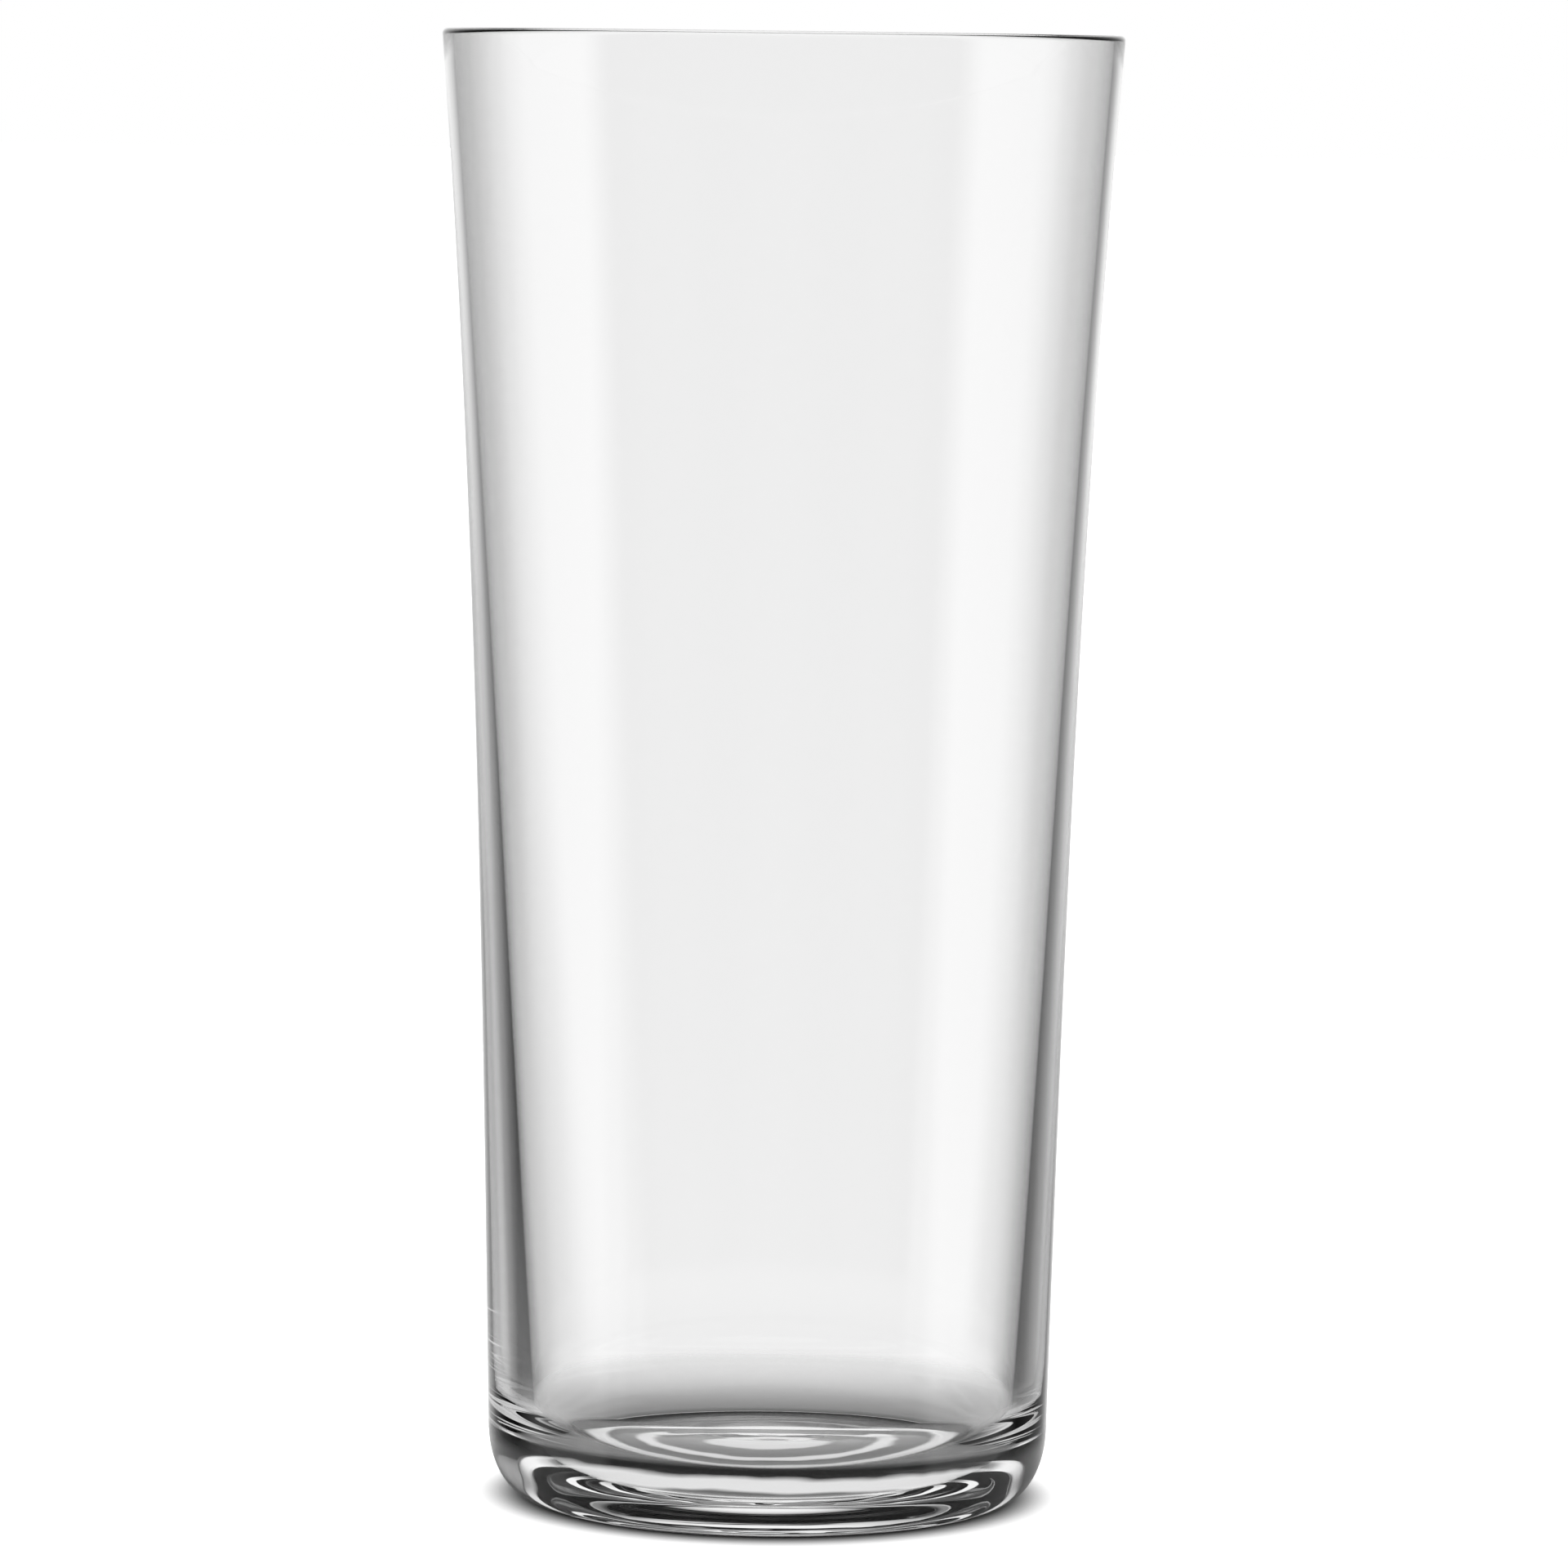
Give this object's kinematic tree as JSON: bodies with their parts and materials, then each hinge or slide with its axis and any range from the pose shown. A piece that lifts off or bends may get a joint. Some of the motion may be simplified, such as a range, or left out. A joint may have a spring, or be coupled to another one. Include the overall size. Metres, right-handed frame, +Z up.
{
  "type": "highball glass",
  "caption": "Tall clear drinking glass with thin flaring walls, a rounded heel and a thick base with a bowl-shaped inside floor.",
  "frame": {"origin": "centre of the foot, on the plane that the glass stands on", "axes": "+Z up along the axis of the glass, from foot to rim; X and Y are alike, because the glass is round"},
  "size_m": [0.072, 0.072, 0.156],
  "materials": {
    "clear_glass": "colourless fire-polished glass, fully transparent, smooth inside and out"
  },
  "bodies": {
    "root": {"tumbler": "clear_glass"}
  },
  "joints": []
}
